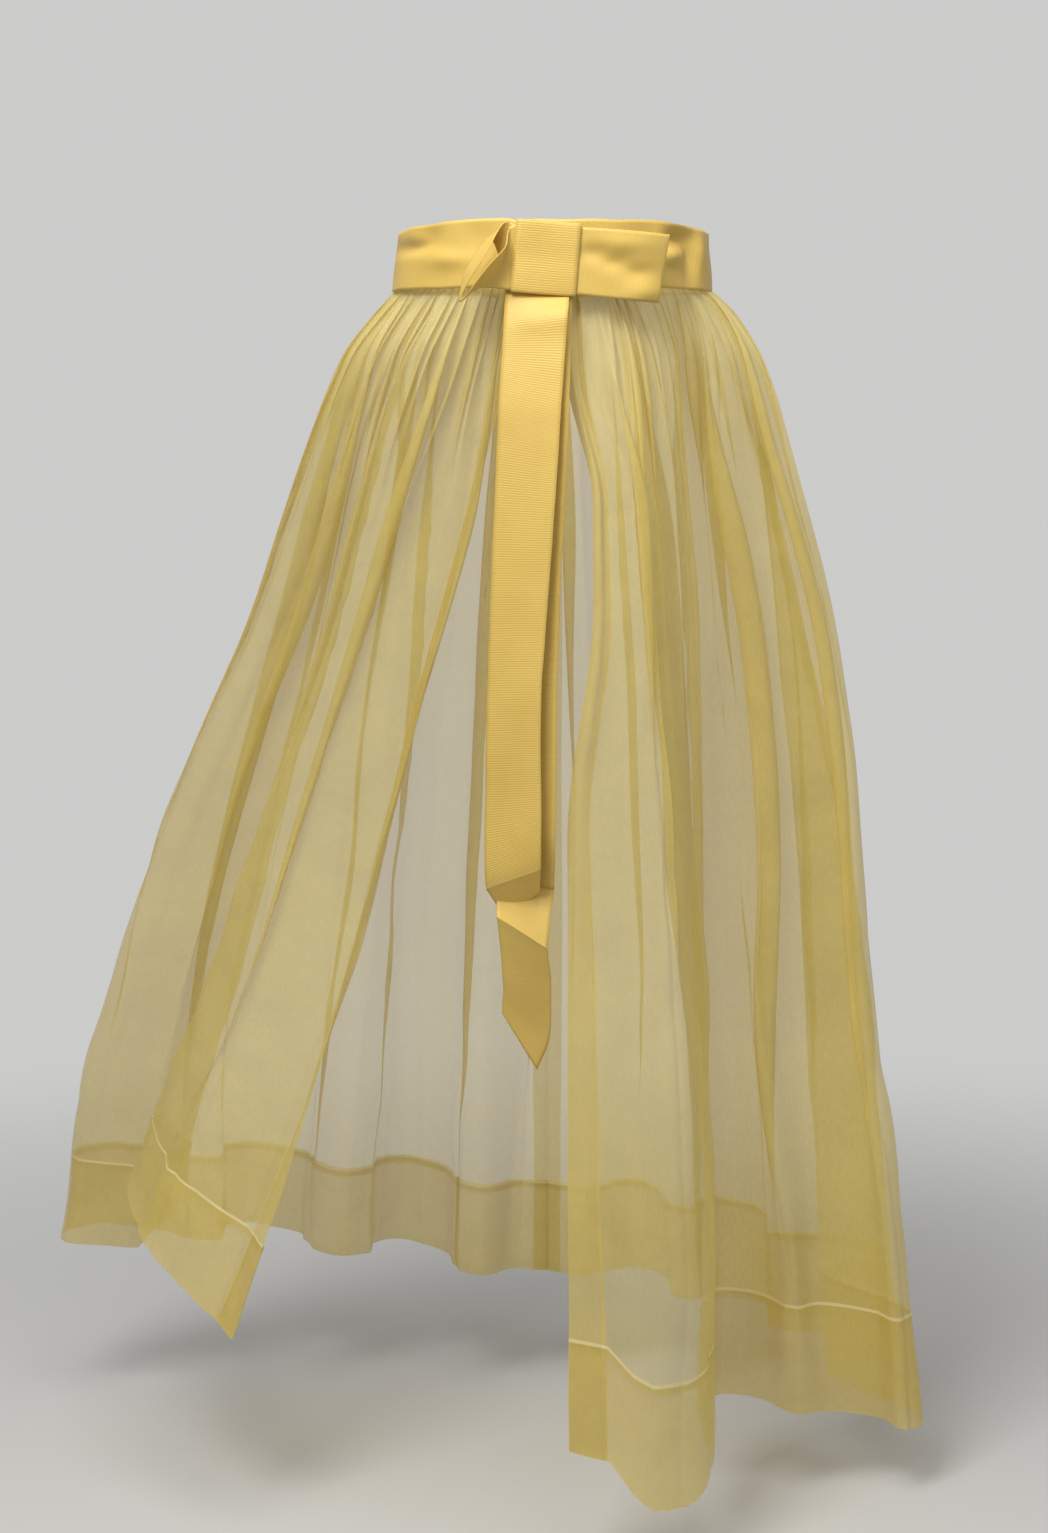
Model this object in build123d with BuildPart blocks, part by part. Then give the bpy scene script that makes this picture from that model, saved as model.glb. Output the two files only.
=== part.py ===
from build123d import *
import os
from math import asin, cos, degrees, pi, radians, sin, sqrt

os.makedirs("parts", exist_ok=True)

# Waistband sizes
waist_width = 239.0
waist_depth = 181.0
ribbon_width = 50.8
ribbon_wall = 1.0
clearance = 0.3
lap_gap = 3.6
lap_over = 26.0
lap_ramp = 68.0

# Skirt sizes
cloth_wall = 1.2
hem_drop = 890.0
hem_reach = 300.0
hem_turn_up = 88.0
hem_step = 1.0
heading_tuck = 8.0
gather_depth = 2.8
left_edge_inset = 22.0
right_edge_inset = 6.0
seam_gap = 0.3

# The hem plane drops to the right and rises to the back
hem_fall_share = 0.11
hem_rise_share = 0.03

# Bow sizes
bow_centre = -4.5
knot_width = 49.0
knot_play = 1.4
loop_gap = 2.0
bow_droop = 3.0
right_loop_reach = 84.0
left_loop_reach = 61.0
left_loop_drop = 33.0
left_loop_rise = 19.0
left_loop_stand = 26.0
left_loop_bulge = 7.0
loop_tuck = 20.0

# Tail sizes
front_tail_length = 478.0
rear_tail_length = 597.0
front_tail_slant = 26.0
rear_tail_slant = 45.0
tail_stand = 25.0
tail_yaw = 40.0
tail_tuck = 18.0

# Hook and bar sizes
hook_wall = 0.6
hook_width = 6.0
hook_base = 9.0
hook_bill = 3.0
hook_spacing = 26.0
bar_width = 2.4
bar_span = 9.2
bar_foot = 3.0

# Sizes that follow from the ones above
half_width = waist_width / 2
half_depth = waist_depth / 2
half_ribbon = ribbon_width / 2
skirt_drop = hem_drop - half_ribbon
heading_inset = clearance + gather_depth / 2
band_width = half_width + ribbon_wall / 2
band_depth = half_depth + ribbon_wall / 2
lap_step = ribbon_wall + lap_gap

# Folds of the hem seen from above, front edge to centre back, as shares of the hem reach
left_hem_shares = [
    (-0.817, 0.200), (-0.900, 0.273), (-1.033, 0.417), (-1.150, 0.600), (-1.183, 0.717),
    (-1.117, 0.800), (-1.097, 0.857), (-1.233, 0.857), (-1.383, 0.830), (-1.417, 0.930),
    (-1.317, 1.033), (-1.150, 1.033), (-1.067, 0.967), (-0.967, 1.000), (-0.967, 1.100),
    (-0.883, 1.167), (-0.750, 1.133), (-0.717, 1.020), (-0.633, 0.950), (-0.533, 1.010),
    (-0.517, 1.120), (-0.417, 1.167), (-0.310, 1.100), (-0.283, 0.980), (-0.200, 0.930),
    (-0.110, 1.000), (0.000, 1.040),
]
right_hem_shares = [
    (0.043, -0.367), (0.127, -0.387), (0.243, -0.407), (0.373, -0.327), (0.413, -0.167),
    (0.400, 0.050), (0.453, 0.260), (0.560, 0.273), (0.670, 0.207), (0.770, 0.243),
    (0.870, 0.233), (0.967, 0.183), (1.010, 0.283), (0.900, 0.400), (0.783, 0.500),
    (0.873, 0.593), (0.987, 0.683), (0.917, 0.793), (0.750, 0.773), (0.650, 0.783),
    (0.683, 0.917), (0.633, 1.030), (0.510, 1.033), (0.447, 0.933), (0.367, 0.950),
    (0.350, 1.087), (0.267, 1.150), (0.170, 1.083), (0.110, 1.010), (0.000, 1.040),
]

# Heights of the cross-sections as shares of the drop, each with its share of the gather depth
level_shares = [
    (0.000, 0.25), (0.030, 0.80), (0.100, 1.00), (0.220, 0.80), (0.420, 0.35), (0.660, 0.00),
]
left_gathers = 12
right_gathers = 12
points_per_gather = 6
band_steps = 84
loop_steps = 44


# Plane of one cross-section, tilting towards the hem
def level_plane(level):
    height = -half_ribbon - level * skirt_drop
    fall = hem_fall_share * level
    rise = hem_rise_share * level
    return Plane(origin=(0, 0, height), x_dir=(1, 0, -fall), z_dir=(fall, -rise, 1))


# Outer and inner points of one cross-section of a panel
def panel_points(waist_line, hem_line, side, flare, gathers, level, gather_share, wall):
    count = gathers * points_per_gather
    threads = []
    for step in range(count + 1):
        along = step / count
        top = waist_line @ along
        low = hem_line @ along
        threads.append(top + (low - top) * level ** flare(along))
    outer = []
    inner = []
    for step in range(count + 1):
        run = threads[min(step + 1, count)] - threads[max(step - 1, 0)]
        out = Vector(side * run.Y, -side * run.X).normalized()
        if step == count:
            out = Vector(0, 1)
        along = 1 - step / count
        turn = 2 * pi * gathers * along + sin(6 * pi * along) * (1 - along)
        place = threads[step] + out * (gather_depth * gather_share * cos(turn))
        if step == count:
            place = place + Vector(side * seam_gap / 2, 0)
        outer.append(place)
        inner.append(place - out * wall)
    return outer, inner


# All cross-sections of a panel from the heading inside the band down to the doubled hem
def panel_sections(waist_line, hem_line, side, flare, gathers):
    hem_top = 1 - hem_turn_up / skirt_drop
    hem_ledge = hem_top + hem_step / skirt_drop
    rows = [(level, share, cloth_wall) for level, share in level_shares]
    rows += [(hem_top, 0, cloth_wall), (hem_ledge, 0, 2 * cloth_wall), (1, 0, 2 * cloth_wall)]
    planes = [level_plane(level) for level, share, wall in rows]
    walls = [
        panel_points(waist_line, hem_line, side, flare, gathers, level, share, wall)
        for level, share, wall in rows
    ]
    heading = (Plane.XY.offset(heading_tuck - half_ribbon), walls[0])
    return [heading] + list(zip(planes, walls))


# Flare of the skirt from waist to hem, fuller near the waist on the right than at the left front
def left_flare(along):
    return 0.65 + 0.45 * (1 - along) ** 2


def right_flare(along):
    return 0.55 + 0.10 * along


# Waist and hem lines of the two panels, the waist lines lying inside the band
heading_width = half_width - heading_inset
heading_depth = half_depth - heading_inset
left_start = 270 - degrees(asin(left_edge_inset / heading_width))
right_start = -90 + degrees(asin(right_edge_inset / heading_width))
with BuildLine() as left_waist:
    EllipticalCenterArc((0, 0), heading_width, heading_depth, left_start, arc_size=90 - left_start)
with BuildLine() as right_waist:
    EllipticalCenterArc((0, 0), heading_width, heading_depth, right_start, arc_size=90 - right_start)
with BuildLine() as left_hem:
    Spline(*[(hem_reach * across, hem_reach * deep) for across, deep in left_hem_shares])
with BuildLine() as right_hem:
    Spline(*[(hem_reach * across, hem_reach * deep) for across, deep in right_hem_shares])

# Left panel of the skirt
with BuildPart() as left_panel:
    for plane, (outer, inner) in panel_sections(
        left_waist.line, left_hem.line, -1, left_flare, left_gathers
    ):
        with BuildSketch(plane):
            with BuildLine():
                Polyline(*outer)
                Line(outer[-1], inner[-1])
                Polyline(*reversed(inner))
                Line(inner[0], outer[0])
            make_face()
    loft(ruled=True)
left_panel.part.label = "left_panel"
export_step(left_panel.part, "parts/left_panel.step")

# Right panel of the skirt
with BuildPart() as right_panel:
    for plane, (outer, inner) in panel_sections(
        right_waist.line, right_hem.line, 1, right_flare, right_gathers
    ):
        with BuildSketch(plane):
            with BuildLine():
                Polyline(*outer)
                Line(outer[-1], inner[-1])
                Polyline(*reversed(inner))
                Line(inner[0], outer[0])
            make_face()
    loft(ruled=True)
right_panel.part.label = "right_panel"
export_step(right_panel.part, "parts/right_panel.step")

# Both edges of a ribbon of a given wall, seen edge-on along a line, as one closed outline
def ribbon_outline(line, count, wall):
    near = []
    far = []
    for step in range(count + 1):
        run = line % (step / count)
        out = Vector(run.Y, -run.X) * (wall / 2)
        near.append(line @ (step / count) + out)
        far.append(line @ (step / count) - out)
    return near + far[::-1]


# Waistband, a ribbon once round the waist whose right end laps over its left end at the front
inner_end = 270 + degrees(asin(lap_over / band_width))
ramp_start = -90 + degrees(asin(lap_ramp / band_width))
lap_depth = band_depth * sqrt(1 - (lap_over / band_width) ** 2) + lap_step
lap_slope = band_depth * lap_over / band_width ** 2
with BuildLine() as band_line:
    round_waist = EllipticalCenterArc(
        (0, 0), band_width, band_depth, inner_end, arc_size=ramp_start - inner_end
    )
    Spline(
        round_waist @ 1,
        (lap_over, -lap_depth),
        (0, -band_depth - lap_step),
        (-lap_over, -lap_depth),
        tangents=[round_waist % 1, (-1, lap_slope)],
    )
with BuildPart() as waistband:
    with BuildSketch(Plane.XY.offset(-half_ribbon)):
        with BuildLine():
            Polyline(*ribbon_outline(band_line.wire(), band_steps, ribbon_wall), close=True)
        make_face()
    extrude(amount=ribbon_width)
waistband.part.label = "waistband"
export_step(waistband.part, "parts/waistband.step")

# Layers in front of the band, from the band outwards
lap_face = half_depth + lap_step + ribbon_wall
rear_tail_back = lap_face + clearance
front_tail_back = rear_tail_back + ribbon_wall + clearance
knot_back = front_tail_back + ribbon_wall + clearance
loop_back = knot_back + ribbon_wall + clearance
loop_front = loop_back + ribbon_wall + loop_gap
knot_front = loop_front + ribbon_wall + clearance
knot_depth = knot_front + ribbon_wall - knot_back
knot_height = ribbon_width + 2 * (knot_play + clearance + ribbon_wall)

# Bow loops, one ribbon: a flat loop to the right and a crushed loop standing on edge to the left
bow_plane = Plane(
    origin=(bow_centre, 0, 0),
    x_dir=(cos(radians(bow_droop)), 0, -sin(radians(bow_droop))),
    z_dir=(sin(radians(bow_droop)), 0, cos(radians(bow_droop))),
)
back_run = loop_back + ribbon_wall / 2
front_run = loop_front + ribbon_wall / 2
knot_edge = knot_width / 2
loop_middle = right_loop_reach * 0.6
loop_tip = right_loop_reach - ribbon_wall / 2
loop_set_back = back_run - half_depth
left_high = (bow_centre - knot_edge - left_loop_bulge / 2, left_loop_rise)
left_low = (bow_centre - left_loop_reach, -left_loop_drop)
lens_across = left_high[1] - left_low[1]
lens_down = left_high[0] - left_low[0]
lens_length = sqrt(lens_across ** 2 + lens_down ** 2)
lens_middle = ((left_high[0] + left_low[0]) / 2, (left_high[1] + left_low[1]) / 2)
lens_out = (-lens_across / lens_length, lens_down / lens_length)


# A point on the middle of the crushed loop, moved out to its left by a distance
def lens_point(distance):
    return (lens_middle[0] + lens_out[0] * distance, lens_middle[1] + lens_out[1] * distance)


# A point on the long axis of the crushed loop, by its share of the way down
def lens_axis(share):
    return (
        left_high[0] + (left_low[0] - left_high[0]) * share,
        left_high[1] + (left_low[1] - left_high[1]) * share,
    )


with BuildLine() as loop_line:
    Spline(
        (-loop_tuck, -back_run),
        (knot_edge, -back_run),
        (loop_middle, -back_run + loop_set_back * 0.3),
        (loop_tip, -back_run + loop_set_back * 0.75),
        (loop_tip, -front_run + loop_set_back * 0.75),
        (loop_middle, -front_run + loop_set_back * 0.05),
        (knot_edge, -front_run),
        (-loop_tuck, -front_run),
    )
with BuildPart() as bow_loops:
    with BuildSketch(bow_plane.offset(-half_ribbon)):
        with BuildLine():
            Polyline(*ribbon_outline(loop_line.wire(), loop_steps, ribbon_wall), close=True)
        make_face()
    extrude(amount=ribbon_width)
    with BuildSketch(Plane.XZ.offset(loop_back), Plane.XZ.offset(loop_front)):
        with BuildLine():
            Polyline(
                (bow_centre, half_ribbon),
                (left_high[0], left_high[1]),
                lens_axis(0.9),
                (bow_centre, -half_ribbon),
                close=True,
            )
        make_face()
    extrude(amount=ribbon_wall)
    with BuildSketch(Plane.XZ.offset(loop_back)):
        with BuildLine():
            ThreePointArc(left_high, lens_point(left_loop_bulge), left_low)
            ThreePointArc(left_low, lens_point(-left_loop_bulge / 2), left_high)
        make_face()
        with BuildLine():
            ThreePointArc(lens_axis(0.08), lens_point(left_loop_bulge - ribbon_wall), lens_axis(0.92))
            ThreePointArc(lens_axis(0.92), lens_point(ribbon_wall - left_loop_bulge / 2), lens_axis(0.08))
        make_face(mode=Mode.SUBTRACT)
    extrude(amount=left_loop_stand)
bow_loops.part.label = "bow_loops"
export_step(bow_loops.part, "parts/bow_loops.step")

# Bow knot, a short ribbon wrapped round the middle of the loops
with BuildPart() as bow_knot:
    with BuildSketch(Plane.YZ.offset(bow_centre - knot_width / 2)):
        with Locations((-knot_back - knot_depth / 2, 0)):
            RectangleRounded(knot_depth, knot_height, ribbon_wall * 2)
            RectangleRounded(
                knot_depth - 2 * ribbon_wall,
                knot_height - 2 * ribbon_wall,
                ribbon_wall,
                mode=Mode.SUBTRACT,
            )
    extrude(amount=knot_width)
bow_knot.part.label = "bow_knot"
export_step(bow_knot.part, "parts/bow_knot.step")

# Tails as shares: height over the length, across over the ribbon width, forward over the stand, turn
front_tail_shares = [
    (-0.06, -0.24, 0.00, 0.00), (0.06, -0.24, 0.00, 0.00), (0.15, -0.26, 0.60, 0.45),
    (0.33, -0.35, 0.84, 0.75), (0.65, -0.55, 0.92, 0.95), (0.92, -0.55, 0.92, 0.95),
    (1.02, -0.53, 0.60, 0.95),
]
rear_tail_shares = [
    (-0.05, -0.16, 0.00, 0.00), (0.05, -0.16, 0.00, 0.00), (0.12, -0.18, 0.41, 0.38),
    (0.27, -0.26, 0.61, 0.70), (0.52, -0.35, 0.69, 0.90), (0.76, -0.39, 0.69, 1.00),
    (0.80, -0.39, 0.29, 1.00), (0.84, -0.39, 1.01, 1.00), (0.89, -0.40, 0.77, 1.00),
    (1.02, -0.40, 0.75, 1.00),
]


# Planes of a tail's cross-sections, each turned about the vertical
def tail_planes(shares, length, back):
    planes = []
    for down, across, forward, turn in shares:
        yaw = radians(tail_yaw * turn)
        height = -length * down
        if down < 0:
            height = tail_tuck
        place = (ribbon_width * across, -back - ribbon_wall / 2 - tail_stand * forward, height)
        planes.append(Plane(origin=place, x_dir=(cos(yaw), -sin(yaw), 0), z_dir=(0, 0, 1)))
    return planes


# Front tail with its slanted end
with BuildPart() as front_tail:
    for plane in tail_planes(front_tail_shares, front_tail_length, front_tail_back):
        with BuildSketch(plane):
            Rectangle(ribbon_width, ribbon_wall)
    loft(ruled=True)
    front_end = Plane(
        origin=(ribbon_width * front_tail_shares[-1][1], 0, front_tail_slant / 2 - front_tail_length),
        z_dir=(-front_tail_slant, 0, ribbon_width),
    )
    split(bisect_by=front_end, keep=Keep.TOP)
front_tail.part.label = "front_tail"
export_step(front_tail.part, "parts/front_tail.step")

# Rear tail with its storage crease and slanted end
with BuildPart() as rear_tail:
    for plane in tail_planes(rear_tail_shares, rear_tail_length, rear_tail_back):
        with BuildSketch(plane):
            Rectangle(ribbon_width, ribbon_wall)
    loft(ruled=True)
    rear_end = Plane(
        origin=(ribbon_width * rear_tail_shares[-1][1], 0, rear_tail_slant / 2 - rear_tail_length),
        z_dir=(rear_tail_slant, 0, ribbon_width),
    )
    split(bisect_by=rear_end, keep=Keep.TOP)
rear_tail.part.label = "rear_tail"
export_step(rear_tail.part, "parts/rear_tail.step")

# Two bars sewn to the inner lap, each with a bridge raised on two feet
lap_inner_face = half_depth + ribbon_wall
foot_low = lap_inner_face + clearance
bridge_low = foot_low + 2 * hook_wall + clearance
half_span = bar_span / 2
with BuildPart() as waist_bars:
    for height in (-hook_spacing / 2, hook_spacing / 2):
        with BuildSketch(Plane.YZ.offset(-bar_width / 2)):
            with BuildLine():
                Polyline(
                    (-foot_low - hook_wall / 2, height - half_span - bar_foot),
                    (-foot_low - hook_wall / 2, height - half_span),
                    (-bridge_low - hook_wall / 2, height - half_span),
                    (-bridge_low - hook_wall / 2, height + half_span),
                    (-foot_low - hook_wall / 2, height + half_span),
                    (-foot_low - hook_wall / 2, height + half_span + bar_foot),
                )
            trace(line_width=hook_wall)
        extrude(amount=bar_width)
waist_bars.part.label = "waist_bars"
export_step(waist_bars.part, "parts/waist_bars.step")

# Two flat hooks sewn to the outer lap, each bill passing under a bridge
bill_run = foot_low + hook_wall / 2
base_run = bridge_low + hook_wall + clearance + hook_wall / 2
hook_bend = -bar_width / 2 - clearance - hook_wall / 2
with BuildPart() as waist_hooks:
    for height in (-hook_spacing / 2, hook_spacing / 2):
        with BuildSketch(Plane.XY.offset(height - hook_width / 2)):
            with BuildLine():
                Polyline(
                    (hook_bill, -bill_run),
                    (hook_bend, -bill_run),
                    (hook_bend, -base_run),
                    (hook_base, -base_run),
                )
            trace(line_width=hook_wall)
        extrude(amount=hook_width)
waist_hooks.part.label = "waist_hooks"
export_step(waist_hooks.part, "parts/waist_hooks.step")
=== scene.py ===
import math

import bmesh
import bpy
from mathutils import Matrix, Vector, noise


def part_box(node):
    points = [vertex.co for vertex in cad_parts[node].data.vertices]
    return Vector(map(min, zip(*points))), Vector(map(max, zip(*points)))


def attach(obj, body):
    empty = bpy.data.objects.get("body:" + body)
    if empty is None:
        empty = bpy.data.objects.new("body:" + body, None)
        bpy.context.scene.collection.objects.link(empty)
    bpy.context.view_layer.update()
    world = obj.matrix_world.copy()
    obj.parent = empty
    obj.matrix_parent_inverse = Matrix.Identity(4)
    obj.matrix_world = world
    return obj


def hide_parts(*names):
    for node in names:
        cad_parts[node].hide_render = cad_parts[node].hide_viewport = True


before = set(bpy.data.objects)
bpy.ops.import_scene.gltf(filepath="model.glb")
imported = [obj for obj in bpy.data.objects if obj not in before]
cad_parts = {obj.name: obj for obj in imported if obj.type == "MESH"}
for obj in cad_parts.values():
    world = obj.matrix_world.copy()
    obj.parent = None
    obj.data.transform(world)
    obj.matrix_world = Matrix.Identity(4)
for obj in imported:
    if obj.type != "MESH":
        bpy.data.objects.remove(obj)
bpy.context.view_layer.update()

# Skirt panels: two full widths of crisp, sheer yellow organza, gathered at the top and tucked up behind
# the waistband. Each has a deep hem turned up inside and a narrow facing turned back down its free
# front edge, and the two are seamed together at the centre back.
_, band_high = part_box("waistband")
right_low, right_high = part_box("right_panel")
half_ribbon = band_high.z
ribbon_wall = 0.001
heading_gap = 0.0017
heading_width = band_high.x - ribbon_wall - heading_gap
heading_depth = band_high.y - ribbon_wall - heading_gap
hem_reach = right_high.x
hem_drop = 0.890
hem_fall = 0.11
hem_rise = 0.03
skirt_drop = hem_drop - half_ribbon
hem_turn_up = 0.088
hem_turn_under = 0.007
facing_width = 0.029
left_edge_inset = 0.022
right_edge_inset = 0.006
layer_gap = 0.0009
heading_tuck = 0.008
seam_allowance = 0.012
heading_inset = 0.0016
gather_count, gather_depth, gather_heading = 25, 0.0095, 0.003
pleat_count, pleat_depth = 44, 0.0050
lap_count, lap_depth, lap_run_top, lap_run_hem = 10, 0.007, 0.010, 0.012
swell_depth, ripple_depth, crease_depth = 0.008, 0.0022, 0.005

left_hem_shares = [
    (-0.817, 0.200), (-0.900, 0.273), (-1.033, 0.417), (-1.150, 0.600), (-1.183, 0.717),
    (-1.117, 0.800), (-1.097, 0.857), (-1.233, 0.857), (-1.383, 0.830), (-1.417, 0.930),
    (-1.317, 1.033), (-1.150, 1.033), (-1.067, 0.967), (-0.967, 1.000), (-0.967, 1.100),
    (-0.883, 1.167), (-0.750, 1.133), (-0.717, 1.020), (-0.633, 0.950), (-0.533, 1.010),
    (-0.517, 1.120), (-0.417, 1.167), (-0.310, 1.100), (-0.283, 0.980), (-0.200, 0.930),
    (-0.110, 1.000), (0.000, 1.040),
]
right_hem_shares = [
    (0.043, -0.367), (0.127, -0.387), (0.243, -0.407), (0.373, -0.327), (0.413, -0.167),
    (0.400, 0.050), (0.453, 0.260), (0.560, 0.273), (0.670, 0.207), (0.770, 0.243),
    (0.870, 0.233), (0.967, 0.183), (1.010, 0.283), (0.900, 0.400), (0.783, 0.500),
    (0.873, 0.593), (0.987, 0.683), (0.917, 0.793), (0.750, 0.773), (0.650, 0.783),
    (0.683, 0.917), (0.633, 1.030), (0.510, 1.033), (0.447, 0.933), (0.367, 0.950),
    (0.350, 1.087), (0.267, 1.150), (0.170, 1.083), (0.110, 1.010), (0.000, 1.040),
]
left_hem_sag = [
    (0.0, -0.036), (0.04, -0.046), (0.10, -0.072), (0.16, -0.096), (0.20, -0.080), (0.28, 0.0),
    (1.0, 0.0),
]
right_hem_sag = [
    (0.0, -0.010), (0.027, -0.007), (0.042, 0.016), (0.056, 0.027), (0.082, 0.026), (0.11, 0.014),
    (0.16, 0.002), (0.24, 0.010), (0.42, 0.012), (0.60, 0.004), (1.0, 0.0),
]
left_bulge = (0.027, (0.22, 0.36, 0.52, 0.66), (0.14, 0.66, 0.76, 1.06))
right_bulge = (0.013, (0.12, 0.30, 0.45, 0.60), (0.10, 0.32, 0.36, 0.66))
left_puff, right_puff = 0.011, 0.007
left_knee, right_knee = 0.20, 0.0
left_parting, right_parting = 0.0, 0.020


def smooth_line(points, steps=24):
    """Points close together on a smooth line through the given ones."""
    points = [Vector(p) for p in points]
    ends = [2 * points[0] - points[1]] + points + [2 * points[-1] - points[-2]]
    line = []
    for a, b, c, d in zip(ends, ends[1:], ends[2:], ends[3:]):
        for step in range(steps):
            t = step / steps
            line.append(0.5 * (2 * b + (c - a) * t + (2 * a - 5 * b + 4 * c - d) * t * t
                               + (3 * b - a - 3 * c + d) * t ** 3))
    return line + [points[-1]]


def even_line(line):
    """A function from a share of the line's length to its point, and that length."""
    runs = [0.0]
    for a, b in zip(line, line[1:]):
        runs.append(runs[-1] + (b - a).length)
    count = 1600
    even, at = [], 0
    for step in range(count + 1):
        run = runs[-1] * step / count
        while at < len(line) - 2 and runs[at + 1] < run:
            at += 1
        part = (run - runs[at]) / max(runs[at + 1] - runs[at], 1e-9)
        even.append(line[at].lerp(line[at + 1], min(max(part, 0), 1)))

    def place(share):
        whole = min(max(share, 0.0), 1.0) * count
        low = min(int(whole), count - 1)
        return even[low].lerp(even[low + 1], whole - low)

    return place, runs[-1]


def between(value, low, high):
    """A smooth step from 0 at low to 1 at high."""
    t = min(max((value - low) / (high - low), 0.0), 1.0)
    return t * t * (3 - 2 * t)


def hump(value, rise_from, rise_to, fall_from, fall_to):
    """A smooth rise from 0 to 1, and a smooth fall to 0 again."""
    return between(value, rise_from, rise_to) * (1 - between(value, fall_from, fall_to))


def along_table(table, share):
    """The value of a table of (share, value) pairs, joined by straight runs."""
    for (a, first), (b, second) in zip(table, table[1:]):
        if share <= b:
            return first + (second - first) * (share - a) / (b - a)
    return table[-1][1]


def panel_drape(side, waist_line, hem_line, flare, sag, knee, parting, bulge, puff, seed):
    """The draped place of the cloth at a share along its width and a share of the drop."""
    def thread(along, level):
        top, low = waist_line(along), hem_line(along)
        return top + (low - top) * max(level, 0.0) ** flare(along)

    def fold(along, count, shift, sharp):
        """How far a fold stands out and leans over: broad faces with narrow tucks between them."""
        wander = noise.noise(Vector((along * count * 0.4, shift, seed)))
        turn = math.pi * (count * along + 0.8 * wander)
        swell = 0.8 + 0.8 * noise.noise(Vector((along * count * 0.7, shift + 7, seed)))
        return swell * (abs(math.sin(turn)) ** sharp - 0.7), swell * math.sin(2 * turn)

    def drape(along, level):
        step = 0.0025
        place = thread(along, level)
        run = thread(min(along + step, 1), level) - thread(max(along - step, 0), level)
        run.normalize()
        out = Vector((side * run.y, -side * run.x))
        free = between(1 - along, 0.0, 0.03)
        down = max(level, 0.0)
        shift = 0.45 * down
        lean = along + 0.012 * noise.noise(Vector((along * 9, down * 4, seed)))
        loose = 0.50 + 0.50 * between(down, 0.0, 0.02)
        gather = gather_heading * loose + gather_depth * between(down, 0.0, 0.10) * (
            1 - 0.90 * between(down, 0.18, 0.62))
        pleat = pleat_depth * loose * (1 - between(down, 0.04, 0.24))
        lap = between(down, 0.03, 0.22) * (1 - 0.75 * between(down, 0.55, 1.0))
        depth, over = -heading_inset * (1 - between(down, 0.0, 0.02)), 0.0
        for size, (rise, tilt) in (
            (gather, fold(lean, gather_count, shift, 0.6)),
            (pleat, fold(along, pleat_count, 3.0 + shift, 0.8)),
        ):
            depth += size * rise
            over += size * 0.45 * tilt
        wander = noise.noise(Vector((along * 4.5, 0.5 * down, seed + 1)))
        turn = 2 * math.pi * (lap_count * lean + 0.7 * wander)
        swell = 0.85 + 0.9 * noise.noise(Vector((along * 8, 0.6 * down, seed + 2)))
        depth += lap_depth * lap * swell * math.cos(turn)
        over -= (lap_run_top + lap_run_hem * down) * lap * swell * math.sin(turn)
        over *= between(along, 0.0, 0.035)
        depth += puff * hump(down, 0.0, 0.06, 0.08, 0.36) * between(along, 0.05, 0.2)
        broad = noise.noise(Vector((along * 9, down * 3.2, seed + 3)))
        small = noise.noise(Vector((along * 34, down * 9, seed + 5)))
        crisp = abs(noise.noise(Vector((along * 13 + down * 3, down * 7, seed + 9))))
        depth += swell_depth * between(down, 0.05, 0.7) * broad
        depth += ripple_depth * between(down, 0.03, 0.5) * small
        depth += crease_depth * between(down, 0.2, 0.6) * crisp
        bulge_depth, bulge_along, bulge_down = bulge
        place.x += side * bulge_depth * hump(down, *bulge_down) * hump(along, *bulge_along)
        place.x += parting * hump(down, 0.06, 0.18, 0.26, 0.46) * (1 - between(along, 0.02, 0.10))
        place = place + (out * depth + run * over) * free
        place.y -= knee * max(down - 0.57 + 0.45 * along, 0.0) * (1 - between(along, 0.13, 0.20))
        height = -half_ribbon - level * skirt_drop
        height += down * (hem_rise * place.y - hem_fall * place.x) - down ** 3 * along_table(sag, along)
        return Vector((place.x, place.y, height))

    return drape


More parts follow.
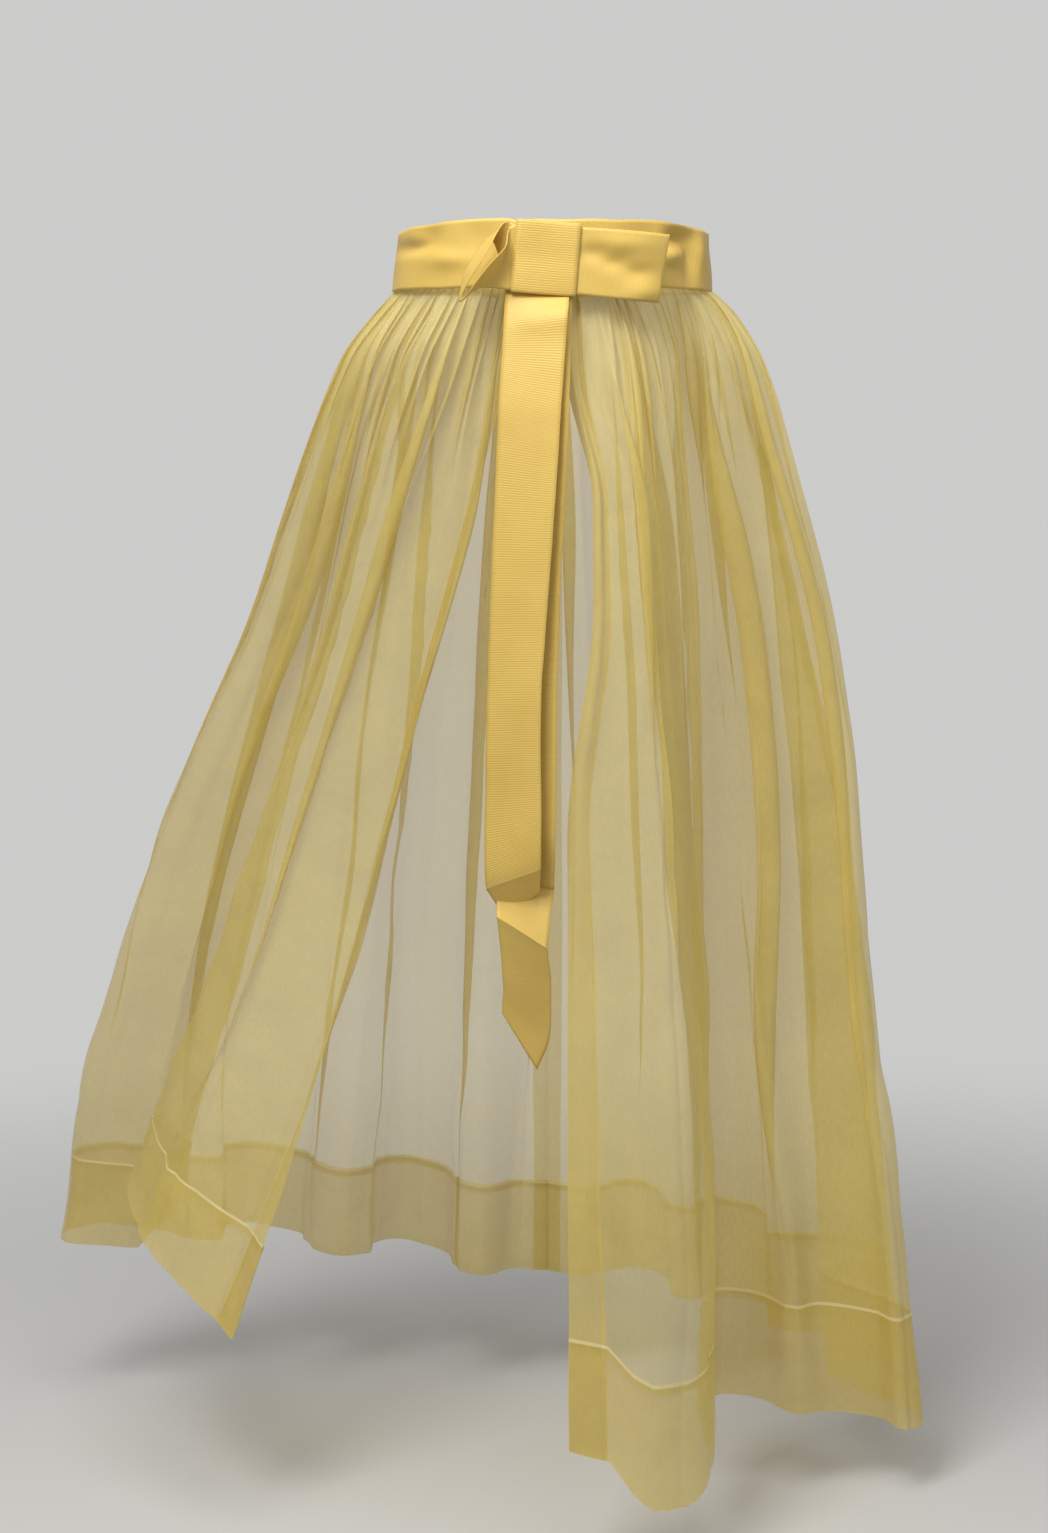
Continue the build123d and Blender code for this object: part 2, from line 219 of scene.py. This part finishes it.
def panel_mesh(name, side, drape, flat_width, columns, rows):
    """The panel as one flat grid, moved to its draped places, hem and facing folded in."""
    facing_columns, seam_columns, hem_rows, under_rows = 12, 4, 12, 2
    across, down = facing_columns + columns + seam_columns, rows + hem_rows + under_rows
    mesh = bpy.data.meshes.new(name)
    shape = bmesh.new()
    bmesh.ops.create_grid(shape, x_segments=across, y_segments=down, size=0.5)
    flat = shape.loops.layers.uv.new("cloth")
    cut, crease = {}, {}
    top_level = -heading_tuck / skirt_drop
    hem_level = hem_turn_up / skirt_drop
    under_level = hem_turn_under / skirt_drop
    for point in shape.verts:
        column = round((point.co.x + 0.5) * across)
        row = round((point.co.y + 0.5) * down)
        layers = 0.0
        along = (column - facing_columns) / columns
        spread = along * flat_width
        if along < 0:
            along = (facing_columns - column) / facing_columns * facing_width / flat_width
            spread = -along * flat_width
            layers += 1
        if along > 1:
            along = 1 - (column - facing_columns - columns) / seam_columns * seam_allowance / flat_width
            spread = (2 - along) * flat_width
            layers += 1
        if row <= rows:
            level = top_level + (1 - top_level) * (row / rows) ** 1.25
            length = level * skirt_drop
        elif row <= rows + hem_rows:
            turned = (row - rows) / hem_rows
            level = 1 - hem_level * turned
            length = skirt_drop * (1 + hem_level * turned)
            layers += 2 if along > facing_width / flat_width else 1.5
        else:
            turned = (row - rows - hem_rows) / under_rows
            level = 1 - hem_level + under_level * turned
            length = skirt_drop * (1 + hem_level + under_level * turned)
            layers += 1
        place = drape(along, level)
        if layers:
            step = 0.002
            wide = drape(min(along + step, 1), level) - drape(max(along - step, 0), level)
            tall = drape(along, min(level + step, 1)) - drape(along, max(level - step, 0))
            place = place + tall.cross(wide).normalized() * (-side * layer_gap * layers)
        cut[point] = (spread, length)
        crease[point] = (
            column in (facing_columns, facing_columns + columns),
            row in (rows, rows + hem_rows),
        )
        point.co = place
    for edge in shape.edges:
        first, second = (crease[point] for point in edge.verts)
        edge.smooth = not ((first[0] and second[0]) or (first[1] and second[1]))
    for face in shape.faces:
        face.smooth = True
        for corner in face.loops:
            corner[flat].uv = cut[corner.vert]
    if side < 0:
        bmesh.ops.reverse_faces(shape, faces=shape.faces)
    shape.to_mesh(mesh)
    shape.free()
    panel = bpy.data.objects.new(name, mesh)
    bpy.context.scene.collection.objects.link(panel)
    return panel


class Shade:
    """A value in a material: sums on it add their maths nodes, and add() makes any other node."""
    def __init__(self, tree, socket=None):
        self.tree, self.socket = tree, socket

    def add(self, kind, settings=None, inputs=None, output=0):
        node = self.tree.nodes.new(kind)
        for key, value in (settings or {}).items():
            setattr(node, key, value)
        for key, value in (inputs or {}).items():
            if isinstance(value, Shade):
                self.tree.links.new(value.socket, node.inputs[key])
            else:
                node.inputs[key].default_value = value
        return Shade(self.tree, node.outputs[output] if len(node.outputs) else None)

    def maths(self, operation, first, second):
        return self.add("ShaderNodeMath", {"operation": operation}, {0: first, 1: second})

    def __add__(self, other):
        return self.maths("ADD", self, other)

    def __mul__(self, other):
        return self.maths("MULTIPLY", self, other)

    def __sub__(self, other):
        return self.maths("SUBTRACT", self, other)

    def __rsub__(self, other):
        return self.maths("SUBTRACT", other, self)

    def __abs__(self):
        return self.maths("ABSOLUTE", self, 0)

    __radd__, __rmul__ = __add__, __mul__


def new_material(name):
    """An empty material and the Shade that fills it."""
    material = bpy.data.materials.new(name)
    material.use_nodes = True
    material.node_tree.nodes.clear()
    return material, Shade(material.node_tree)


def colour_mix(share, first, second):
    """The first colour at share 0, the second at share 1."""
    return share.add(
        "ShaderNodeMix", {"data_type": "RGBA"}, {"Factor": share, 6: first, 7: second}, output=2
    )


organza_deep = (0.700, 0.545, 0.125, 1)
organza_light = (0.820, 0.670, 0.200, 1)
# A pale colour mixed in as painted light: painted sheen on the gathered cloth under the band and a
# painted highlight along the hem's top fold.
organza_painted_sheen = (0.930, 0.820, 0.420, 1)
gathers_seen = 0.15
stitch_full, stitch_gone = 0.0007, 0.0020
organza, sheer = new_material("organza")
cloth_place = sheer.add("ShaderNodeUVMap", {"uv_map": "cloth"})
slub = sheer.add("ShaderNodeTexNoise", {}, {"Vector": cloth_place, "Scale": 26.0, "Detail": 3.0})
yarn_place = sheer.add("ShaderNodeMapping", {}, {"Vector": cloth_place, "Scale": (900, 120, 1)})
yarn = sheer.add("ShaderNodeTexNoise", {}, {"Vector": yarn_place, "Scale": 1.0, "Detail": 1.0})
across_cloth = sheer.add("ShaderNodeSeparateXYZ", {}, {"Vector": cloth_place})
down_cloth = sheer.add("ShaderNodeSeparateXYZ", {}, {"Vector": cloth_place}, output=1)


def fade_out(value, full, gone):
    """1 up to one distance, falling smoothly to 0 at another."""
    return value.add("ShaderNodeMapRange", {"interpolation_type": "SMOOTHSTEP"}, {
        "Value": value, "From Min": full, "From Max": gone, "To Min": 1.0, "To Max": 0.0,
    })


# Down from the band the gathered cloth is denser, so the cover rises there; the same mask also lightens
# the colour there as painted sheen.
gathered = fade_out(down_cloth, 0.0, gathers_seen)
# Along the hem's top fold the cover rises for the stitches and folded layers, and the colour turns pale:
# partly pale stitching, partly a painted highlight.
hem_stitch_and_painted_highlight = fade_out(abs(abs(down_cloth - skirt_drop) - hem_turn_up), stitch_full, stitch_gone)
facing_edge = fade_out(abs(abs(across_cloth) - facing_width + 0.001), stitch_full, stitch_gone)
cover = 0.41 + 0.10 * slub + 0.10 * yarn
cover = cover + 0.20 * gathered + 0.30 * hem_stitch_and_painted_highlight + 0.20 * facing_edge
organza_colour = colour_mix(slub, organza_deep, organza_light)
# This pale mix is painted light: painted sheen near the gathers and a painted highlight along the hem
# fold, laid over the cloth's own uneven tone.
organza_colour = colour_mix(hem_stitch_and_painted_highlight + 0.6 * gathered, organza_colour, organza_painted_sheen)
soft_crease = sheer.add("ShaderNodeTexNoise", {}, {
    "Vector": cloth_place, "Scale": 17.0, "Detail": 3.0, "Distortion": 0.6,
})
crease_bump = sheer.add("ShaderNodeBump", {}, {
    "Strength": 0.5, "Distance": 0.006, "Height": soft_crease,
})
cloth_face = sheer.add("ShaderNodeBsdfPrincipled", {}, {
    "Base Color": organza_colour, "Roughness": 0.44, "Specular IOR Level": 1.0,
    "Normal": crease_bump,
})
through = sheer.add("ShaderNodeBsdfTranslucent", {}, {"Color": organza_light})
clear = sheer.add("ShaderNodeBsdfTransparent")
cloth_side = sheer.add("ShaderNodeMixShader", {}, {0: 0.26, 1: cloth_face, 2: through})
woven = sheer.add("ShaderNodeMixShader", {}, {0: cover, 1: clear, 2: cloth_side})
sheer.add("ShaderNodeOutputMaterial", {}, {"Surface": woven})


def waist_arc(start, end):
    """The gathered edge of a panel inside the band, between two angles."""
    return [Vector((heading_width * math.cos(start + (end - start) * k / 200),
                    heading_depth * math.sin(start + (end - start) * k / 200))) for k in range(201)]


def left_flare(along):
    return 0.65 + 0.45 * (1 - along) ** 2


def right_flare(along):
    return 0.55 + 0.10 * along


left_start = 1.5 * math.pi - math.asin(left_edge_inset / heading_width)
right_start = -0.5 * math.pi + math.asin(right_edge_inset / heading_width)
panel_columns, panel_rows = 600, 96
for name, node, side, start, shares, flare, sag, knee, parting, bulge, puff, seed in (
    ("skirt_left_panel", "left_panel", -1, left_start, left_hem_shares, left_flare, left_hem_sag,
     left_knee, left_parting, left_bulge, left_puff, 11.0),
    ("skirt_right_panel", "right_panel", 1, right_start, right_hem_shares, right_flare, right_hem_sag,
     right_knee, right_parting, right_bulge, right_puff, 4.0),
):
    waist_line, _ = even_line(waist_arc(start, 0.5 * math.pi))
    hem_points = [(hem_reach * x, hem_reach * y) for x, y in shares]
    hem_line, flat_width = even_line(smooth_line(hem_points))
    drape = panel_drape(side, waist_line, hem_line, flare, sag, knee, parting, bulge, puff, seed)
    panel = panel_mesh(name, side, drape, flat_width, panel_columns, panel_rows)
    panel.data.materials.append(organza)
    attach(panel, "root")
    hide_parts(node)
    flat_width + facing_width + seam_allowance

# Waistband: one length of heavy grosgrain ribbon, folded round the gathers and lapped right over left
# under the bow. It is soft with wear, dented near its left side and crumpled at its right.
ribbon_width = 2 * half_ribbon
band_reach = Vector((0.120, 0.091))
band_lap = 0.0046
lap_over = 0.026
lap_ramp = 0.068
ribbon_cloth = 0.0006
crumple_grain = 45
noise.seed_set(5)  # the same crumple on every run


def ribbon_strip(name, first_edge, second_edge, across, steps=8, crumple=0.0004, dents=()):
    """A ribbon between its two woven edges, each a smooth line through the given points. A dent is its
    middle, its half-width and half-height, and how far it pushes the ribbon away from the waist."""
    first, second = smooth_line(first_edge, steps), smooth_line(second_edge, steps)
    along = len(first) - 1
    runs = [0.0]
    for a, b, c, d in zip(first, second, first[1:], second[1:]):
        runs.append(runs[-1] + (0.5 * (c + d - a - b)).length)
    shape = bmesh.new()
    bmesh.ops.create_grid(shape, x_segments=along, y_segments=across, size=0.5)
    flat = shape.loops.layers.uv.new("cloth")
    cut = {}
    for point in shape.verts:
        at, over = round((point.co.x + 0.5) * along), point.co.y + 0.5
        place = first[at].lerp(second[at], over)
        cut[point] = (runs[at], over * ribbon_width)
        push = sum(
            depth * math.exp(-((place.x - x) / wide) ** 2 - ((place.z - z) / tall) ** 2)
            for x, z, wide, tall, depth in dents if place.y < 0
        )
        outward = Vector((place.x, place.y, 0)).normalized()
        point.co = place + crumple * noise.noise_vector(place * crumple_grain) + push * outward
    for strip_face in shape.faces:
        strip_face.smooth = True
        for corner in strip_face.loops:
            corner[flat].uv = cut[corner.vert]
    mesh = bpy.data.meshes.new(name)
    shape.to_mesh(mesh)
    shape.free()
    strip = bpy.data.objects.new(name, mesh)
    bpy.context.scene.collection.objects.link(strip)
    thick = strip.modifiers.new("thickness", "SOLIDIFY")
    thick.thickness, thick.offset = ribbon_cloth, 0.0
    mesh.materials.append(grosgrain)
    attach(strip, "root")
    return strip, runs[-1]


def in_millimetres(points):
    return [Vector(p) * 0.001 for p in points]


rib_pitch = 0.0017
grosgrain, woven_rib = new_material("grosgrain")
rib_place = woven_rib.add("ShaderNodeUVMap", {"uv_map": "cloth"})
rib_run = woven_rib.add("ShaderNodeSeparateXYZ", {}, {"Vector": rib_place})
rib_turn = rib_run * (2 * math.pi / rib_pitch)
rib = rib_turn.maths("SINE", rib_turn, 0)
rib_noise = woven_rib.add("ShaderNodeTexNoise", {}, {"Vector": rib_place, "Scale": 420.0, "Detail": 2.0})
rib_cloud = woven_rib.add("ShaderNodeTexNoise", {}, {"Vector": rib_place, "Scale": 18.0, "Detail": 2.0})
ribbon_deep = (0.610, 0.400, 0.080, 1)
ribbon_light = (0.750, 0.525, 0.130, 1)
rib_colour = colour_mix(rib_cloud, ribbon_deep, ribbon_light)
rib_bump = woven_rib.add("ShaderNodeBump", {}, {
    "Strength": 0.30, "Distance": 0.0004, "Height": 0.5 * rib + 0.6 * rib_noise,
})
rib_face = woven_rib.add("ShaderNodeBsdfPrincipled", {}, {
    "Base Color": rib_colour, "Roughness": 0.48, "Specular IOR Level": 0.4, "Normal": rib_bump,
})
woven_rib.add("ShaderNodeOutputMaterial", {}, {"Surface": rib_face})

band_first = math.asin(lap_over / band_reach.x) - 0.5 * math.pi
band_last = -2 * math.pi - math.acos(lap_ramp / band_reach.x)
band_top, band_bottom = [], []
band_steps, lap_steps = 60, 5
top_sink, lap_sink, bottom_drop = 0.003, 0.0025, 0.001
for step in range(band_steps + 1):
    angle = band_first + (band_last - band_first) * step / band_steps
    spot = Vector((band_reach.x * math.cos(angle), band_reach.y * math.sin(angle)))
    to_side = abs(spot.x) / band_reach.x
    dent = 0.0014 * noise.noise(Vector((spot.x * 28, spot.y * 28, 2.0)))
    top_out = 1.0 + dent / band_reach.y - 0.04 * between(to_side, 0.5, 1.0)
    low_out = 1.0 + 0.0012 * noise.noise(Vector((spot.x * 30, spot.y * 30, 6.0))) / band_reach.y
    top_height = half_ribbon - top_sink - top_sink * between(to_side, 0.5, 0.9)
    top_height -= top_sink * between(to_side, 0.85, 1.0)
    if step < lap_steps:
        top_height -= lap_sink
    band_top.append((spot.x * top_out, spot.y * top_out, top_height))
    band_bottom.append((spot.x * low_out, spot.y * low_out, -half_ribbon - bottom_drop))
for across_share in (0.45, 0.15, -0.1, -0.38, -0.65, -1.0):
    spot_x = lap_over * across_share if across_share < 0 else lap_ramp * across_share * 1.4
    spot_y = -band_reach.y * math.sqrt(1 - (spot_x / band_reach.x) ** 2) - band_lap
    band_top.append((spot_x, spot_y, half_ribbon - 0.004))
    band_bottom.append((spot_x, spot_y, -half_ribbon - bottom_drop))
band_dents = [
    (-0.103, 0.004, 0.012, 0.005, -0.0045), (-0.090, 0.011, 0.009, 0.010, -0.0030),
    (-0.076, -0.006, 0.016, 0.006, 0.0025), (-0.055, 0.010, 0.012, 0.012, -0.0018),
    (0.092, 0.010, 0.010, 0.007, -0.0065), (0.084, -0.003, 0.008, 0.006, 0.0045),
    (0.100, -0.006, 0.005, 0.014, -0.0045), (0.108, 0.004, 0.004, 0.016, 0.0025),
]
waist_ribbon, waist_run = ribbon_strip("waist_ribbon", band_top, band_bottom, 20, 6, 0.0008, band_dents)
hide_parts("waistband")

# Bow: loops of the same ribbon, one flat and drooping to the right, the other crushed on edge so that
# it shows its inside to the front, and a short piece wrapped round their middle as a false knot.
loop_first = in_millimetres([
    (-6, -100.4, 16), (20, -100.4, 15), (45, -97.6, 13.5), (66, -93, 12), (80.6, -86.6, 11.2),
    (81.0, -88.5, 11.1), (66, -96.5, 12.2), (45, -101.5, 13.8), (20, -103.4, 15.2), (-6, -103.2, 16.5),
    (-28, -103.0, 17), (-32.6, -107, 11.5), (-34.4, -115.5, 1.0), (-45.5, -120.5, -11.5),
    (-57, -119, -26.5), (-64.6, -114, -35.5), (-66.0, -112, -34.2), (-60, -118, -23),
    (-52, -121.5, -10.5), (-45, -118.5, 1.5), (-38.5, -109.5, 14.2), (-33.5, -103.6, 19.6),
    (-28, -101.2, 18), (-6, -100.9, 16),
])
loop_second = in_millimetres([
    (-8, -100.4, -29), (14, -100.4, -31.8), (40, -98.4, -34), (58, -95, -36), (72.6, -88.4, -37.2),
    (73.0, -90.4, -37.4), (60, -98, -36.4), (40, -102.5, -34.3), (14, -103.4, -32), (-8, -103.2, -29.5),
    (-31, -102.8, -28.8), (-37, -102.6, -28), (-45, -102.8, -27.5), (-53, -103.8, -27.5),
    (-60, -106, -32), (-66, -108, -37), (-67.4, -105, -35), (-66, -101, -27),
    (-62.5, -98, -14), (-53, -97, 1), (-45, -98, 8), (-38, -99.4, -8),
    (-31, -100.6, -28), (-8, -100.9, -29),
])
loop_dents = [
    (0.030, -0.002, 0.011, 0.006, -0.0028), (0.045, -0.009, 0.011, 0.006, -0.0036),
    (0.060, -0.016, 0.011, 0.006, -0.0036), (0.050, 0.004, 0.022, 0.006, 0.0018),
    (0.064, -0.031, 0.014, 0.006, 0.0022),
]
bow_ribbon, bow_run = ribbon_strip("bow_ribbon", loop_first, loop_second, 20, 10, 0.0004, loop_dents)
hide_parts("bow_loops")

knot_turn = Matrix.Rotation(math.radians(4.5), 4, "Y")
knot_middle = Vector((-0.0056, 0, -0.0062))
knot_side = Vector((0.0232, 0, 0))
knot_rounds = in_millimetres([
    (0, -99.2, -8), (0, -99.2, 12), (0, -99.4, 22), (0, -100.4, 25.2), (0, -103.4, 25.6),
    (0, -105.0, 24), (0, -105.2, 12), (0, -104.8, 0), (0, -105.2, -12), (0, -105.0, -23.5),
    (0, -103.4, -25.2), (0, -100.4, -24.8), (0, -99.6, -22), (0, -98.6, -12), (0, -98.6, 6),
])
knot_left = [knot_middle + knot_turn @ (p - knot_side) for p in knot_rounds]
knot_right = [knot_middle + knot_turn @ (p + knot_side) for p in knot_rounds]
knot_ribbon, knot_run = ribbon_strip("knot_ribbon", knot_left, knot_right, 12, 6)
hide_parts("bow_knot")

# Tails: two loose ribbon ends from under the knot, turned a little to the left so that the longer one
# shows behind the other. The short one curls back at its cut end and the long one has a sharp crease.
front_first = in_millimetres([
    (-33, -98.5, -14), (-34.0, -98.6, -27), (-34.8, -101, -37), (-35.6, -107, -52), (-36.6, -110, -68),
    (-38.9, -114, -106), (-42.5, -117, -180), (-45.5, -118, -248), (-47.8, -118, -320),
    (-49.4, -118, -392), (-49.6, -118.5, -440), (-48.9, -117.5, -456), (-47, -115, -461),
    (-33.6, -104, -482.2),
])
front_second = in_millimetres([
    (11, -98.5, -16), (10.9, -98.8, -29), (10.6, -108, -37), (9.6, -116.5, -47), (8.2, -117.5, -68),
    (4.9, -125, -116), (0.5, -129, -182), (-4.1, -130, -247), (-9.1, -132, -318),
    (-9.0, -132, -388), (-9.0, -132.5, -424), (-9.0, -131, -439), (-9.1, -128, -444),
    (-9.6, -112, -461.5),
])
rear_first = in_millimetres([
    (-31, -97.2, -14), (-32, -97.3, -28), (-32.6, -98.5, -40), (-33.4, -102, -75), (-34.5, -106, -116),
    (-37.5, -108, -182), (-40, -108.5, -248), (-41.5, -108.5, -320), (-42, -108.5, -392),
    (-42, -107.5, -425), (-41.8, -103, -444), (-41.5, -101.4, -453), (-41.0, -118.5, -475),
    (-40.8, -120, -478.5),
    (-39.5, -117.0, -488), (-36.5, -106, -529), (-37.0, -101, -545), (-37.3, -99, -553.6),
])
rear_second = in_millimetres([
    (13.4, -97.2, -16), (13.2, -97.5, -29), (12.8, -102, -40), (11.8, -111, -78), (10.7, -118, -116),
    (7.5, -120, -182), (4.5, -120, -248), (2.5, -120, -320), (1.9, -120, -392), (1.4, -119, -430),
    (0.9, -111, -456), (0.6, -108.5, -462), (-4.2, -123.5, -497), (-4.5, -125, -500),
    (-3.6, -122, -508), (-1.6, -114, -530), (-2.2, -101, -571), (-11.7, -95, -597.3),
])
for name, node, first_edge, second_edge in (
    ("front_tail_ribbon", "front_tail", front_first, front_second),
    ("rear_tail_ribbon", "rear_tail", rear_first, rear_second),
):
    tail, tail_run = ribbon_strip(name, first_edge, second_edge, 14)
    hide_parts(node)

# Hooks and bars: two small flat hooks and the bars that they catch, pressed from bright steel and sewn
# between the two laps of the band, where the bow hides them.
steel_colour = (0.62, 0.60, 0.56, 1)
steel, steel_shade = new_material("hook_metal")
steel_face = steel_shade.add("ShaderNodeBsdfPrincipled", {}, {
    "Base Color": steel_colour, "Metallic": 1.0, "Roughness": 0.35,
})
steel_shade.add("ShaderNodeOutputMaterial", {}, {"Surface": steel_face})
for node in ("waist_hooks", "waist_bars"):
    fitting = bmesh.new()
    fitting.from_mesh(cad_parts[node].data)
    bmesh.ops.remove_doubles(fitting, verts=fitting.verts, dist=0.00001)
    fitting_mesh = bpy.data.meshes.new(node + "_bright")
    fitting.to_mesh(fitting_mesh)
    fitting.free()
    fitting_mesh.materials.append(steel)
    fitting_piece = bpy.data.objects.new(node + "_bright", fitting_mesh)
    bpy.context.scene.collection.objects.link(fitting_piece)
    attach(fitting_piece, "root")
    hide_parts(node)

# Floor, light and camera: a pale studio floor that fades into a plain pale background, soft light from
# the front left and above, and the viewing angle of the photograph.
floor_drop = 0.07
floor_height = right_low.z - floor_drop
floor_reach = 2.6
floor_full, floor_gone = 1.05, 2.0
floor_colour = (0.68, 0.68, 0.675, 1)
floor_shape = bmesh.new()
bmesh.ops.create_circle(floor_shape, cap_ends=True, radius=floor_reach, segments=96)
bmesh.ops.translate(floor_shape, verts=floor_shape.verts, vec=(0, 0, floor_height))
floor_mesh = bpy.data.meshes.new("floor")
floor_shape.to_mesh(floor_mesh)
floor_shape.free()
floor = bpy.data.objects.new("floor", floor_mesh)
bpy.context.scene.collection.objects.link(floor)
paper, paper_shade = new_material("floor_paper")
paper_place = paper_shade.add("ShaderNodeTexCoord", output=3)
paper_reach = paper_shade.add(
    "ShaderNodeVectorMath", {"operation": "LENGTH"}, {0: paper_place}, output=1
)
paper_fade = fade_out(paper_reach, floor_full, floor_gone)
paper_face = paper_shade.add("ShaderNodeBsdfPrincipled", {}, {
    "Base Color": floor_colour, "Roughness": 0.9, "Alpha": paper_fade,
})
paper_shade.add("ShaderNodeOutputMaterial", {}, {"Surface": paper_face})
floor_mesh.materials.append(paper)

world = bpy.data.worlds.new("studio")
world.use_nodes = True
world.node_tree.nodes.clear()
studio = Shade(world.node_tree)
camera_ray, glossy_ray, transmission_ray = (
    studio.add("ShaderNodeLightPath", output=output)
    for output in ("Is Camera Ray", "Is Glossy Ray", "Is Transmission Ray")
)
seen = camera_ray + glossy_ray + transmission_ray
room_light = studio.add("ShaderNodeBackground", {}, {"Color": (1.0, 0.99, 0.97, 1), "Strength": 0.28})
room_wall = studio.add("ShaderNodeBackground", {}, {"Color": (0.60, 0.60, 0.595, 1), "Strength": 1.0})
room = studio.add("ShaderNodeMixShader", {}, {0: seen, 1: room_light, 2: room_wall})
studio.add("ShaderNodeOutputWorld", {}, {"Surface": room})
bpy.context.scene.world = world
light_aim = Vector((-0.02, 0.05, -0.42))
for name, place, size, power in (
    ("key_light", (-0.7, -1.5, 1.4), 0.8, 33),
    ("top_light", (-0.1, -0.55, 0.85), 0.7, 9),
    ("fill_light", (1.9, -1.6, 0.5), 1.2, 7),
):
    lamp = bpy.data.lights.new(name, "AREA")
    lamp.energy, lamp.size = power, size
    lamp_object = bpy.data.objects.new(name, lamp)
    lamp_object.location = place
    lamp_object.visible_camera = False
    lamp_object.rotation_mode = "QUATERNION"
    lamp_object.rotation_quaternion = (light_aim - Vector(place)).to_track_quat("-Z", "Y")
    bpy.context.scene.collection.objects.link(lamp_object)

lens = bpy.data.cameras.new("camera")
photo_focal, photo_tall = 2774, 1533
lens.sensor_width = 36
lens.lens = lens.sensor_width * photo_focal / photo_tall
camera = bpy.data.objects.new("camera", lens)
camera.location = (-0.0212, -2.100, -0.107)
camera_tilt = 7.5
camera.rotation_euler = (math.radians(90 - camera_tilt), 0, 0)
bpy.context.scene.collection.objects.link(camera)
bpy.context.scene.camera = camera
bpy.context.scene.view_settings.view_transform = "Standard"
bpy.context.scene.cycles.transparent_max_bounces = 20
bpy.context.scene.cycles.max_bounces = 6
bpy.context.scene.cycles.diffuse_bounces = 3
